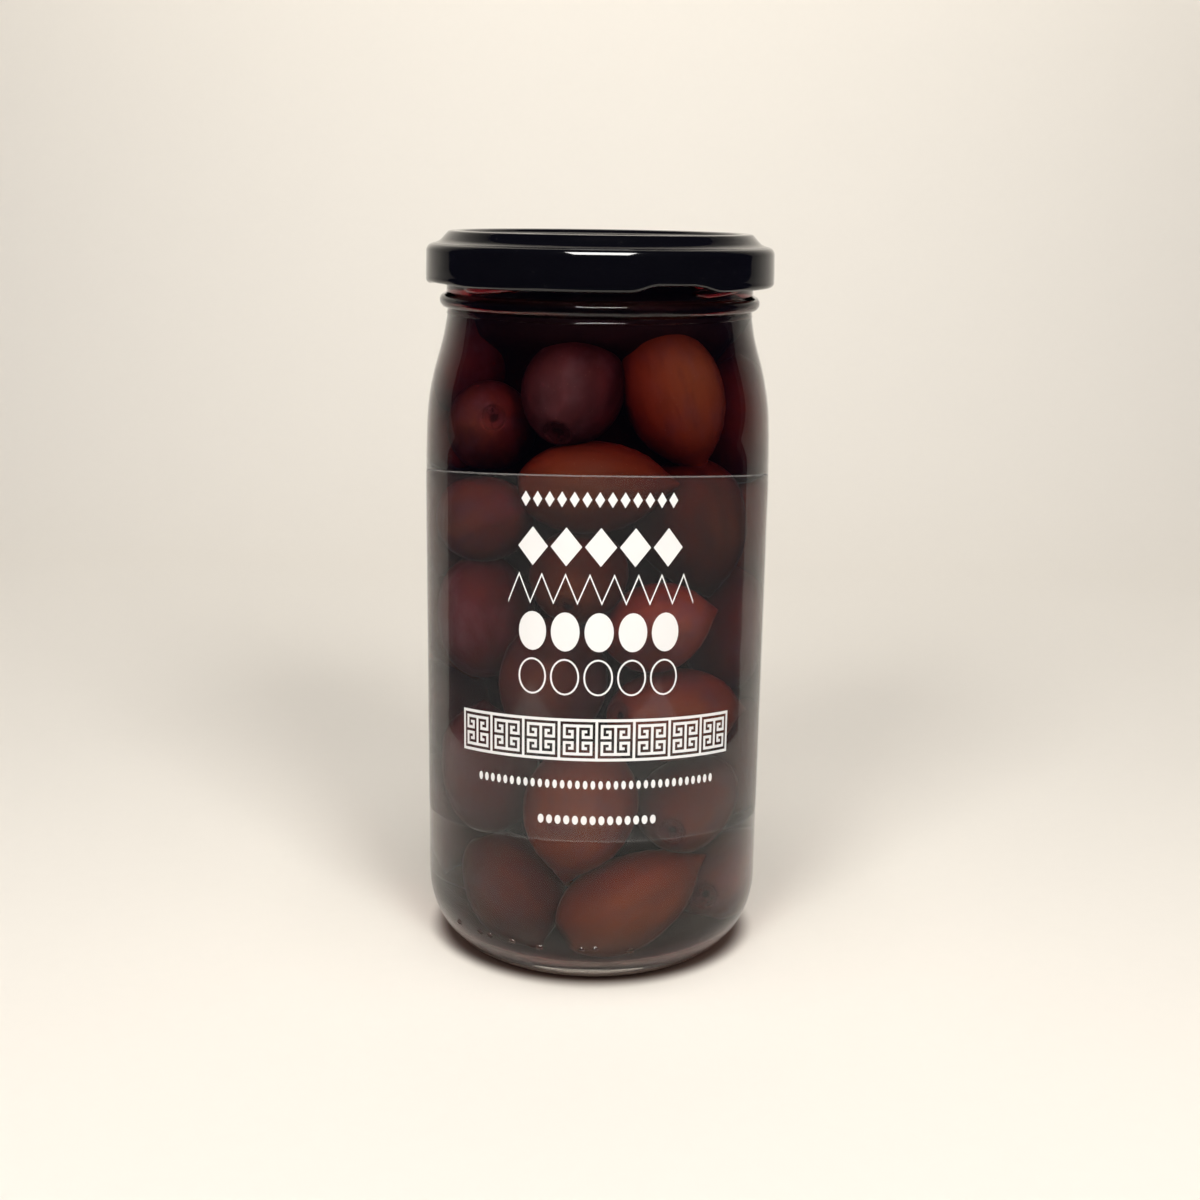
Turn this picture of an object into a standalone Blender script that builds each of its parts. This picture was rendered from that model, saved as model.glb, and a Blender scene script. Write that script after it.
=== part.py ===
"""A shut glass jar of whole dark olives: twist-off jar, metal lid, clear film label and the heap of olives.

Metres, +Z up. The jar stands on the origin with its label facing -Y.
Azimuths are degrees from the front (-Y) towards +X.
"""

import math
import random

import bmesh
import bpy
import numpy as np
from mathutils import Matrix, Vector

MM = 0.001
SIDES = 48                  # flat sides that stand for a full turn

# Glass jar, sizes in millimetres
BODY_RADIUS = 33.5
WALL = 2.4
HEEL_WIDE = 9.3             # how far the rounded heel reaches in, and how high it starts
HEEL_TALL = 13.1
FOOT_INNER = 22.6           # inner radius of the ring that the jar stands on
FLOOR_THICK = 4.0
PUSH_UP = 2.2
SHOULDER = ((33.5, 94.0), (33.35, 102.1), (32.9, 109.1), (31.75, 115.2), (30.05, 121.2), (29.2, 125.6))
NECK_RADIUS = 29.1
FINISH_RADIUS = 29.3
BEAD_RADIUS = 30.6
BEAD_HEIGHT = 128.5
RIM_HEIGHT = 139.6
THREADS = 4
THREAD_START = -55.0        # azimuth where the first thread begins
THREAD_SWEEP = 80.0
THREAD_LOW = 131.25
THREAD_RISE = 4.0
THREAD_THICK = 1.05

# Lid
LID_RADIUS = 33.05
LID_BOTTOM = 131.6
LID_TOP = 141.4
LUG_AZIMUTH = 24.4

# Film label
LABEL_GAP = 0.3
LABEL_THICK = 0.2
LABEL_TOP = 100.1
LABEL_BOTTOM = 31.1
LABEL_HALF_ANGLE = 80.0
LABEL_ARCH = 4.4            # how far its edges would fall at the jar's sides

# Olives: azimuth, height, length, width, and where the tip points: its lean to the right of upright, and how far out
SEEN = (
    (-78, 117.5, 21, 15.5, 15, 0), (-12, 112.8, 21, 17.5, 10, -50), (38, 111.8, 25, 18.8, 166, 0),
    (-56, 105.5, 22, 16.8, 250, -30), (90, 105.5, 23, 17.0, -10, 0), (-2, 96.3, 26, 16.4, 86, 0),
    (-56, 89.0, 23, 15.5, 75, 0), (50, 88.5, 26, 19.5, 168, 5), (-8, 79.8, 21, 16.2, 10, -60),
    (-58, 69.5, 25, 18.5, 8, 0), (29, 69.8, 20, 16.4, 78, 5), (82, 66.0, 24, 17.0, 0, 0),
    (-22, 59.8, 25, 18.4, 8, 0), (40, 52.0, 27, 17.6, 98, 0),
    (-60, 38.5, 26, 18.5, 0, 0), (-6, 34.0, 27, 19.2, 190, 0), (53, 33.0, 24, 18.0, 75, -25),
    (-40, 14.8, 23, 18.6, 150, 0), (17, 14.8, 28, 17.8, 61, 0), (82, 14.5, 23, 17.5, 85, 0),
)
BACK_ROWS = 6
CORE_RADIUS = 15.5
HEAP_BOTTOM = 5.0
HEAP_TOP = 126.5
SETTLING_STEPS = 160
PRESSED = 0.6               # how far neighbouring olives may press into each other
OLIVE_GAP = 0.75            # least room between an olive and the glass


def clear_scene():
    for item in list(bpy.data.objects):
        bpy.data.objects.remove(item, do_unlink=True)


def new_collection(name):
    made = bpy.data.collections.new(name)
    bpy.context.scene.collection.children.link(made)
    return made


def material(name, colour, roughness, metallic=0.0, transmission=0.0):
    made = bpy.data.materials.new(name)
    made.use_nodes = True
    shader = made.node_tree.nodes["Principled BSDF"]
    shader.inputs["Base Color"].default_value = (*colour, 1.0)
    shader.inputs["Roughness"].default_value = roughness
    shader.inputs["Metallic"].default_value = metallic
    shader.inputs["Transmission Weight"].default_value = transmission
    made.diffuse_color = (*colour, 1.0)
    return made


def add_object(name, mesh, group):
    made = bpy.data.objects.new(name, mesh)
    group.objects.link(made)
    return made


def around(azimuth, radius, height):
    """A point in metres at an azimuth in degrees, and a radius and height in millimetres."""
    turn = math.radians(azimuth)
    return Vector((radius * math.sin(turn), -radius * math.cos(turn), height)) * MM


def turned(name, profile, group, sides=SIDES):
    """A profile of (radius, height) points in millimetres, turned about Z."""
    mesh = bpy.data.meshes.new(name)
    points = [(r * MM, 0.0, z * MM) for r, z in profile]
    mesh.from_pydata(points, [(i, i + 1) for i in range(len(points) - 1)], [])
    made = add_object(name, mesh, group)
    screw = made.modifiers.new("Turn", "SCREW")
    screw.steps = sides
    screw.render_steps = sides
    screw.use_merge_vertices = True
    screw.merge_threshold = 0.00001
    screw.use_smooth_shade = True
    return made


def evaluated_mesh(item):
    depsgraph = bpy.context.evaluated_depsgraph_get()
    depsgraph.update()
    return bpy.data.meshes.new_from_object(item.evaluated_get(depsgraph))


def boolean(item, group, operation, name, solver="EXACT"):
    cut = item.modifiers.new(name, "BOOLEAN")
    cut.operand_type = "COLLECTION"
    cut.collection = group
    cut.operation = operation
    cut.solver = solver


def quarter(centre_r, centre_z, wide, tall, start, end, steps):
    """Points on an ellipse arc, by angle from straight out (0) to straight down (-90)."""
    angles = [math.radians(start + (end - start) * i / steps) for i in range(steps + 1)]
    return [(centre_r + wide * math.cos(a), centre_z + tall * math.sin(a)) for a in angles]


def jar_profile():
    """From the middle of the jar's inner floor, up the inside, over the rim and down the outside."""
    inner = BODY_RADIUS - WALL
    floor = [(0.0, FLOOR_THICK + PUSH_UP * 0.5), (12.0, FLOOR_THICK + PUSH_UP * 0.35)]
    inner_heel = quarter(inner - 9.0, FLOOR_THICK + 10.5, 9.0, 10.5, -90, 0, 4)
    inner_shoulder = [(r - WALL, z) for r, z in SHOULDER]
    neck_inside = FINISH_RADIUS - WALL
    rim = [(neck_inside, 130.0), (neck_inside, RIM_HEIGHT - 0.6), (neck_inside + 0.5, RIM_HEIGHT)]
    rim += [(FINISH_RADIUS - 0.5, RIM_HEIGHT), (FINISH_RADIUS, RIM_HEIGHT - 0.5)]
    reach = BEAD_RADIUS - FINISH_RADIUS
    bead = [(FINISH_RADIUS, BEAD_HEIGHT + 1.2), (FINISH_RADIUS + 0.75 * reach, BEAD_HEIGHT + 0.85)]
    bead += [(BEAD_RADIUS, BEAD_HEIGHT), (FINISH_RADIUS + 0.75 * reach, BEAD_HEIGHT - 0.75), (NECK_RADIUS, BEAD_HEIGHT - 1.3)]
    outer_heel = quarter(BODY_RADIUS - HEEL_WIDE, HEEL_TALL, HEEL_WIDE, HEEL_TALL, 0, -90, 8)
    foot = [(FOOT_INNER, 0.0), (FOOT_INNER - 1.2, 0.7), (15.0, PUSH_UP * 0.8), (0.0, PUSH_UP)]
    return floor + inner_heel + inner_shoulder + rim + bead + list(reversed(SHOULDER)) + outer_heel + foot


def thread_rib(index, group):
    """One glass thread: a round rib that climbs to the right and thins out at both ends."""
    steps = 12
    path = bpy.data.curves.new(f"rib_path_{index}", "CURVE")
    path.dimensions = "3D"
    path.bevel_depth = THREAD_THICK * MM
    path.bevel_resolution = 1
    path.use_fill_caps = True
    line = path.splines.new("POLY")
    line.points.add(steps)
    for i, point in enumerate(line.points):
        share = i / steps
        climb = share * share * (3 - 2 * share)
        azimuth = THREAD_START + 90.0 * index + THREAD_SWEEP * share
        place = around(azimuth, FINISH_RADIUS + 0.55, THREAD_LOW + THREAD_RISE * climb)
        point.co = (*place, 1.0)
        point.radius = 0.6 if i in (0, steps) else 1.0
    curve = bpy.data.objects.new(f"rib_curve_{index}", path)
    group.objects.link(curve)
    mesh = evaluated_mesh(curve)
    shape = bmesh.new()
    shape.from_mesh(mesh)
    bmesh.ops.remove_doubles(shape, verts=shape.verts, dist=0.00001)
    bmesh.ops.recalc_face_normals(shape, faces=shape.faces)
    shape.to_mesh(mesh)
    shape.free()
    rib = add_object(f"rib_{index}", mesh, group)
    rib.matrix_world = curve.matrix_world
    bpy.data.objects.remove(curve, do_unlink=True)
    as_guide(rib)
    return rib


def as_guide(item):
    item.hide_render = True
    item.display_type = "WIRE"


def blob(name, group, azimuth, radius, height, radial, along, tall):
    """An ellipsoid whose axes lie along the radius, the rim and Z."""
    mesh = bpy.data.meshes.new(name)
    shape = bmesh.new()
    bmesh.ops.create_icosphere(shape, subdivisions=2, radius=1.0)
    size = Matrix.Diagonal((along * MM, radial * MM, tall * MM, 1.0))
    turn = Matrix.Rotation(math.radians(azimuth), 4, "Z")
    move = Matrix.Translation(around(azimuth, radius, height))
    bmesh.ops.transform(shape, matrix=move @ turn @ size, verts=shape.verts)
    shape.to_mesh(mesh)
    shape.free()
    made = add_object(name, mesh, group)
    as_guide(made)
    return made


def lid_profile():
    """From the middle of the lid's top, out over the raised ring, down the skirt, and back along the inside."""
    top = [(0.0, 140.45), (25.6, 140.45), (26.6, 140.9), (27.3, 141.35), (28.3, LID_TOP), (29.2, 141.2)]
    step = [(29.6, 140.8), (30.0, 140.2), (30.4, 139.95)]
    shoulder = [(31.4, 139.7), (32.3, 139.2), (32.85, 138.5), (LID_RADIUS, 137.6)]
    skirt = [(LID_RADIUS + 0.12, 133.0)]
    curl = quarter(32.35, LID_BOTTOM + 0.9, 0.82, 0.9, 0, -180, 5)
    back = [(31.75, 133.1), (32.4, 133.8), (32.4, 137.9), (31.9, 138.7), (31.0, 139.2), (29.75, 139.45)]
    seal = [(29.4, 139.95), (26.6, 139.95), (26.0, 139.8), (0.0, 139.8)]
    return top + step + shoulder + skirt + curl + back + seal


def make_label(group):
    """An open sheet bent round the body, its long edges arched, then thickened outwards."""
    columns = 26
    bpy.ops.mesh.primitive_grid_add(x_subdivisions=columns, y_subdivisions=1, size=2.0)
    label = bpy.context.object
    label.name = "label"
    label.data.name = "label"
    for owner in list(label.users_collection):
        owner.objects.unlink(label)
    group.objects.link(label)
    radius = BODY_RADIUS + LABEL_GAP
    for vertex in label.data.vertices:
        azimuth = vertex.co.x * LABEL_HALF_ANGLE
        fall = LABEL_ARCH * (1 - math.cos(math.radians(azimuth)))
        edge = LABEL_TOP if vertex.co.y > 0 else LABEL_BOTTOM
        vertex.co = around(azimuth, radius, edge - fall)
    thick = label.modifiers.new("Film", "SOLIDIFY")
    thick.thickness = LABEL_THICK * MM
    thick.offset = 1.0
    return label


def inner_radius(height):
    """Radius of the jar's inside at a height, in millimetres."""
    floor = FLOOR_THICK + 10.5
    low = np.clip((floor - height) / 10.5, 0.0, 1.0)
    heel = BODY_RADIUS - WALL - 9.0 * (1 - np.sqrt(1 - low * low))
    rows = [z for r, z in SHOULDER]
    radii = [r - WALL for r, z in SHOULDER]
    return np.minimum(heel, np.interp(height, rows, radii))


def olive_axis(azimuth, lean, point_out):
    """Unit vector of an olive's long axis: lean turns it to the right of upright, point_out turns it outwards."""
    turn, side, out = math.radians(azimuth), math.radians(lean), math.radians(point_out)
    right = np.array((math.cos(turn), math.sin(turn), 0.0))
    outward = np.array((math.sin(turn), -math.cos(turn), 0.0))
    flat = right * math.sin(side) + np.array((0.0, 0.0, 1.0)) * math.cos(side)
    return flat * math.cos(out) + outward * math.sin(out)


def olive_layout():
    """Centres, axes, lengths and widths of all olives in millimetres, settled so that they barely touch."""
    chance = random.Random(7)
    rows = [list(entry) for entry in SEEN]
    for row in range(BACK_ROWS):
        height = 15.0 + row * 19.3
        for step in range(3):
            azimuth = 128.0 + 52.0 * step + (24.0 if row % 2 else 0.0) + chance.uniform(-6, 6)
            lean = chance.choice((0, 35, 75, 110, 150)) + chance.uniform(-15, 15)
            size = chance.uniform(0.93, 1.07)
            rows.append([azimuth, height + chance.uniform(-2, 2), 25.0 * size, 18.3 * size, lean, chance.uniform(-12, 12)])
    rows.append([118.0, 42.0, 24.0, 17.5, 10.0, 0.0])
    rows.append([120.0, 84.0, 24.0, 17.5, -20.0, 0.0])
    firm = np.array([0.25] * len(SEEN) + [1.0] * (len(rows) - len(SEEN)))
    long_half = np.array([entry[2] for entry in rows]) / 2
    wide_half = np.array([entry[3] for entry in rows]) / 2
    axes = np.array([olive_axis(entry[0], entry[4], entry[5]) for entry in rows])
    centres = []
    for azimuth, height, length, width, lean, out in rows:
        reach = inner_radius(height) - width / 2 - OLIVE_GAP
        turn = math.radians(azimuth)
        centres.append((reach * math.sin(turn), -reach * math.cos(turn), height))
    centres = np.array(centres)
    wanted = centres[:len(SEEN)].copy()
    # Five balls inside each olive stand for it while it settles
    shares = np.array((-0.8, -0.45, 0.0, 0.45, 0.8))
    span = np.sqrt(np.maximum(long_half ** 2 - wide_half ** 2, 0.01))
    ball = wide_half[:, None] * np.sqrt(1 - shares ** 2)[None, :]
    count = len(rows)
    for _ in range(SETTLING_STEPS):
        balls = centres[:, None, :] + axes[:, None, :] * (span[:, None] * shares[None, :])[:, :, None]
        flat = balls.reshape(-1, 3)
        radii = ball.reshape(-1)
        gaps = flat[:, None, :] - flat[None, :, :]
        away = np.linalg.norm(gaps, axis=2) + 1e-9
        deep = (radii[:, None] + radii[None, :] - PRESSED - away).reshape(count, 5, count, 5)
        lines = (gaps / away[:, :, None]).reshape(count, 5, count, 5, 3)
        push = np.zeros_like(centres)
        for i in range(count):
            for j in range(i + 1, count):
                block = deep[i, :, j, :]
                worst = np.unravel_index(block.argmax(), block.shape)
                if block[worst] > 0:
                    line = lines[i, worst[0], j, worst[1]]
                    share = firm[i] / (firm[i] + firm[j])
                    push[i] += line * block[worst] * share * 0.5
                    push[j] -= line * block[worst] * (1 - share) * 0.5
        centres = centres + push
        centres[:len(SEEN)] += 0.08 * (wanted - centres[:len(SEEN)])
        balls = centres[:, None, :] + axes[:, None, :] * (span[:, None] * shares[None, :])[:, :, None]
        out = np.linalg.norm(balls[:, :, :2], axis=2)
        over = out + ball + OLIVE_GAP - inner_radius(balls[:, :, 2])
        worst = over.argmax(axis=1)
        for i in range(count):
            k = worst[i]
            if over[i, k] > 0 and out[i, k] > 0:
                centres[i, :2] -= balls[i, k, :2] / out[i, k] * over[i, k]
            low = (balls[i, :, 2] - ball[i]).min()
            high = (balls[i, :, 2] + ball[i]).max()
            centres[i, 2] += max(0.0, HEAP_BOTTOM - low) - max(0.0, high - HEAP_TOP)
    return centres, axes, long_half * 2, wide_half * 2


def olive_mesh(name, centre, axis, length, width):
    """An olive with few sides: a ball drawn out along its axis, a little fuller towards its stem end."""
    mesh = bpy.data.meshes.new(name)
    shape = bmesh.new()
    bmesh.ops.create_uvsphere(shape, u_segments=9, v_segments=6, radius=1.0)
    for vertex in shape.verts:
        fuller = 1.0 - 0.10 * vertex.co.z
        vertex.co.x *= fuller * width / 2 * MM
        vertex.co.y *= fuller * width / 2 * MM
        vertex.co.z *= length / 2 * MM
    turn = Vector((0, 0, 1)).rotation_difference(Vector(axis)).to_matrix().to_4x4()
    bmesh.ops.transform(shape, matrix=Matrix.Translation(Vector(centre) * MM) @ turn, verts=shape.verts)
    shape.to_mesh(mesh)
    shape.free()
    return mesh


def largest_body(mesh):
    """Keeps the biggest closed surface, so that sealed hollows are filled and loose scraps dropped."""
    shape = bmesh.new()
    shape.from_mesh(mesh)
    bmesh.ops.remove_doubles(shape, verts=shape.verts, dist=0.000002)
    left = set(shape.verts)
    bodies = []
    while left:
        start = left.pop()
        body = [start]
        queue = [start]
        while queue:
            for edge in queue.pop().link_edges:
                for vertex in edge.verts:
                    if vertex in left:
                        left.remove(vertex)
                        body.append(vertex)
                        queue.append(vertex)
        bodies.append(body)
    bodies.sort(key=len, reverse=True)
    extra = [vertex for body in bodies[1:] for vertex in body]
    bmesh.ops.delete(shape, geom=extra, context="VERTS")
    shape.to_mesh(mesh)
    shape.free()
    return mesh


def make_olives(group, helpers):
    """The heap: a turned core with every olive fused on."""
    profile = [(0.0, 116.0), (9.0, 115.0), (14.0, 109.0), (CORE_RADIUS, 100.0), (CORE_RADIUS, 60.0)]
    profile += [(CORE_RADIUS, 22.0), (14.0, 13.0), (9.0, 8.0), (0.0, 7.0)]
    core = turned("olives", profile, group, sides=16)
    centres, axes, lengths, widths = olive_layout()
    for i in range(len(centres)):
        name = f"olive_{i:02d}"
        as_guide(add_object(name, olive_mesh(name, centres[i], axes[i], lengths[i], widths[i]), helpers))
    boolean(core, helpers, "UNION", "Fuse olives")
    mesh = largest_body(evaluated_mesh(core))
    core.modifiers.clear()
    core.data = mesh
    for piece in list(helpers.objects):
        bpy.data.objects.remove(piece, do_unlink=True)
    return core


clear_scene()
parts = new_collection("olive_jar")
ribs = new_collection("thread_ribs")
scoops = new_collection("lug_scoops")
teeth = new_collection("lug_teeth")
pieces = new_collection("olive_pieces")

jar = turned("jar", jar_profile(), parts)
for index in range(THREADS):
    thread_rib(index, ribs)
boolean(jar, ribs, "UNION", "Threads")

lid = turned("lid", lid_profile(), parts)
for index in range(THREADS):
    azimuth = LUG_AZIMUTH + 90.0 * index
    blob(f"scoop_{index}", scoops, azimuth, 34.6, 131.3, 2.4, 9.0, 2.2)
    blob(f"tooth_{index}", teeth, azimuth, 31.3, 132.45, 1.1, 4.5, 0.8)
boolean(lid, scoops, "DIFFERENCE", "Lug dents")
boolean(lid, teeth, "UNION", "Lugs")

label = make_label(parts)
olives = make_olives(parts, pieces)

jar.data.materials.append(material("clear_glass", (0.82, 0.86, 0.84), 0.03, transmission=1.0))
lid.data.materials.append(material("black_lacquered_metal", (0.012, 0.012, 0.016), 0.22, metallic=0.2))
label.data.materials.append(material("printed_clear_film", (0.55, 0.52, 0.50), 0.35, transmission=0.6))
olives.data.materials.clear()
olives.data.materials.append(material("olive_skin", (0.12, 0.045, 0.035), 0.4))
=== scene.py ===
# %% [markdown]
# A shut glass jar of whole dark olives in brine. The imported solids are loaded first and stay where
# they are. Each of them then gets a finer piece that stands for it: glass for the jar, lacquered
# metal for the lid, thin film for the label, and forty separate olives for the heap.
# Sizes are written in millimetres, as a glassmaker's drawing would have them.

import math
import random

import bmesh
import bpy
import numpy as np
from mathutils import Matrix


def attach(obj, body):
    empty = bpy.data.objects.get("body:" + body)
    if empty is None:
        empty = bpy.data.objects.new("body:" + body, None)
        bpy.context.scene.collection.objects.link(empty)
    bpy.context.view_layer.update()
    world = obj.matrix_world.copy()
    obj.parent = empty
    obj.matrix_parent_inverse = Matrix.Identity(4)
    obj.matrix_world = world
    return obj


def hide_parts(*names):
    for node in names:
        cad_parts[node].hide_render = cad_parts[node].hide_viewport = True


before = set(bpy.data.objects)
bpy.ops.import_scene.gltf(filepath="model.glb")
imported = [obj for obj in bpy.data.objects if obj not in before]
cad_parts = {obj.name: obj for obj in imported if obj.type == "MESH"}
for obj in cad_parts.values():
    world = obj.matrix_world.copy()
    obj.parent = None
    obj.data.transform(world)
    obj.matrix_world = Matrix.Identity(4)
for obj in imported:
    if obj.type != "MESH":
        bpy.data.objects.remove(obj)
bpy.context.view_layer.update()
MM = 0.001

# %% [markdown]
# The camera comes first, because everything else is judged through it. It stands a little above
# the jar, about 32 cm away, looks down 13.7 degrees, and is rolled by less than a degree, as a
# hand-held photograph is. Lens, place and tilt were fitted to the jar's outline in the photograph.

# %% Camera
EYE_PLACE, LOOKS_DOWN, ROLL, LENS = (0.0, -0.32065, 0.1473), 13.665, 0.0145, 49.386
eye = bpy.data.cameras.new("eye")
eye.sensor_fit = "HORIZONTAL"
eye.sensor_width = 36.0
eye.lens = LENS
eye.shift_x = 0.00381
eye.clip_start = 0.01
eye.clip_end = 20.0
camera = bpy.data.objects.new("camera", eye)
bpy.context.collection.objects.link(camera)
camera.location = EYE_PLACE
tilt = math.radians(90.0 - LOOKS_DOWN)
camera.rotation_mode = "QUATERNION"
camera.rotation_quaternion = (Matrix.Rotation(tilt, 3, "X") @ Matrix.Rotation(ROLL, 3, "Z")).to_quaternion()
bpy.context.scene.camera = camera
bpy.context.scene.view_settings.view_transform = "Standard"
print("camera at", tuple(camera.location))

# %% [markdown]
# Modelling by hand means: add a start shape, go into edit mode, select, and use a tool. The few
# helpers below do just that. Everything is deselected before each start shape, because a tool acts
# on all that is selected.

# %% Helpers for modelling
def start(add, name, **settings):
    """Adds one start shape, alone in the selection, and goes into edit mode on its points."""
    if bpy.context.object and bpy.context.object.mode != "OBJECT":
        bpy.ops.object.mode_set(mode="OBJECT")
    bpy.ops.object.select_all(action="DESELECT")
    add(**settings)
    piece = bpy.context.object
    piece.name = piece.data.name = name
    bpy.ops.object.transform_apply(location=True, rotation=True, scale=True)
    bpy.ops.object.mode_set(mode="EDIT")
    bpy.ops.mesh.select_mode(type="VERT")
    return piece


def finish_shape(piece, angle=40.0):
    """Leaves edit mode, puts the place into the mesh and shades it smooth up to an angle."""
    if piece.mode == "EDIT":
        bpy.ops.object.mode_set(mode="OBJECT")
    only(piece)
    bpy.ops.object.transform_apply(location=True, rotation=True, scale=True)
    bpy.ops.object.shade_smooth_by_angle(angle=math.radians(angle))
    return piece


def only(piece):
    """Makes one piece the only one selected, and the active one."""
    if bpy.context.object and bpy.context.object.mode != "OBJECT":
        bpy.ops.object.mode_set(mode="OBJECT")
    bpy.ops.object.select_all(action="DESELECT")
    piece.select_set(True)
    bpy.context.view_layer.objects.active = piece


def pick(piece, wanted):
    """Selects the points whose place, in millimetres, passes a test; returns how many."""
    mesh = bmesh.from_edit_mesh(piece.data)
    count = 0
    for point in mesh.verts:
        point.select_set(bool(wanted(point.co.x / MM, point.co.y / MM, point.co.z / MM)))
        count += point.select
    mesh.select_flush_mode()
    bmesh.update_edit_mesh(piece.data)
    return count


def tidy_mesh():
    """Merges doubled points and turns all faces outwards, in edit mode."""
    bpy.ops.mesh.select_all(action="SELECT")
    bpy.ops.mesh.remove_doubles(threshold=0.00001)
    bpy.ops.mesh.normals_make_consistent(inside=False)


def add_modifier(piece, kind, **settings):
    """Adds a modifier, sets it and applies it, so that the piece is plain mesh afterwards."""
    only(piece)
    modifier = piece.modifiers.new(kind.lower(), kind)
    for key, value in settings.items():
        setattr(modifier, key, value)
    bpy.ops.object.modifier_apply(modifier=modifier.name)


def joined(pieces, name):
    """Joins several pieces into one and names it."""
    only(pieces[0])
    for piece in pieces:
        piece.select_set(True)
    bpy.ops.object.join()
    whole = bpy.context.object
    whole.name = whole.data.name = name
    return whole


def give(piece, node, slot_name, *materials):
    """Hangs a piece under the root, hides the solid that it stands for and gives it its finish; slot_name is
    not used.
    """
    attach(piece, "root")
    if node:
        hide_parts(node)
    for material in materials:
        piece.data.materials.append(material)
    print(piece.name, "has", len(piece.data.polygons), "faces")


# %% [markdown]
# Everything round in this jar is turned: a profile is drawn as a chain of points from the axis
# outwards and back, and spun once round the axis. The chain is made by extruding one point from
# station to station, as a lathe operator would follow a template.

# %% Turning a profile
def turned(name, stations, steps=160):
    """Spins a chain of (radius, height) stations in millimetres once round the upright axis."""
    piece = start(bpy.ops.mesh.primitive_plane_add, name, size=0.001)
    bpy.ops.mesh.select_all(action="SELECT")
    bpy.ops.mesh.merge(type="CENTER")
    r, z = stations[0]
    bpy.ops.transform.translate(value=(r * MM, 0.0, z * MM))
    for (r0, z0), (r1, z1) in zip(stations, stations[1:]):
        step = ((r1 - r0) * MM, 0.0, (z1 - z0) * MM)
        bpy.ops.mesh.extrude_region_move(TRANSFORM_OT_translate={"value": step})
    bpy.ops.mesh.select_all(action="SELECT")
    bpy.ops.mesh.spin(steps=steps, angle=2 * math.pi, center=(0.0, 0.0, 0.0), axis=(0.0, 0.0, 1.0))
    tidy_mesh()
    return piece


def bow(centre, radius, first, last, count, tall=None):
    """Stations on a part of a circle or ellipse, angles in degrees from straight outwards."""
    tall = radius if tall is None else tall
    angles = [math.radians(first + (last - first) * k / count) for k in range(count + 1)]
    return [(centre[0] + radius * math.cos(a), centre[1] + tall * math.sin(a)) for a in angles]


def gentle(points, parts=4):
    """Extra stations between measured ones, so that a long curve has no flats."""
    points = [np.array(p, float) for p in points]
    path = [points[0] * 2 - points[1]] + points + [points[-1] * 2 - points[-2]]
    out = []
    for a, b, c, d in zip(path, path[1:], path[2:], path[3:]):
        for k in range(parts):
            t = k / parts
            out.append(tuple(0.5 * (2 * b + (c - a) * t + (2 * a - 5 * b + 4 * c - d) * t * t
                                    + (3 * b - a - 3 * c + d) * t ** 3)))
    return out + [tuple(points[-1])]


# %% [markdown]
# Materials are networks of nodes. Writing them as formulas keeps them readable: a Wire stands for
# one output of a node, and adding or multiplying wires adds the Math nodes that do it. Numbers
# alone are worked out in Python.

# %% Shader formulas
class Wire:
    """One socket of a material, which can be used in a formula."""

    def __init__(self, paint, socket):
        self.paint, self.socket = paint, socket

    def _pair(self, operation, first, second):
        kind = "ShaderNodeVectorMath" if self.socket.type == "VECTOR" else "ShaderNodeMath"
        return self.paint.node(kind, {"operation": operation}, {0: first, 1: second})

    def __add__(self, other):
        return self._pair("ADD", self, other)

    def __sub__(self, other):
        return self._pair("SUBTRACT", self, other)

    def __mul__(self, other):
        return self._pair("MULTIPLY", self, other)

    def __pow__(self, other):
        return self._pair("POWER", self, other)

    __radd__ = __add__
    __rmul__ = __mul__


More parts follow.
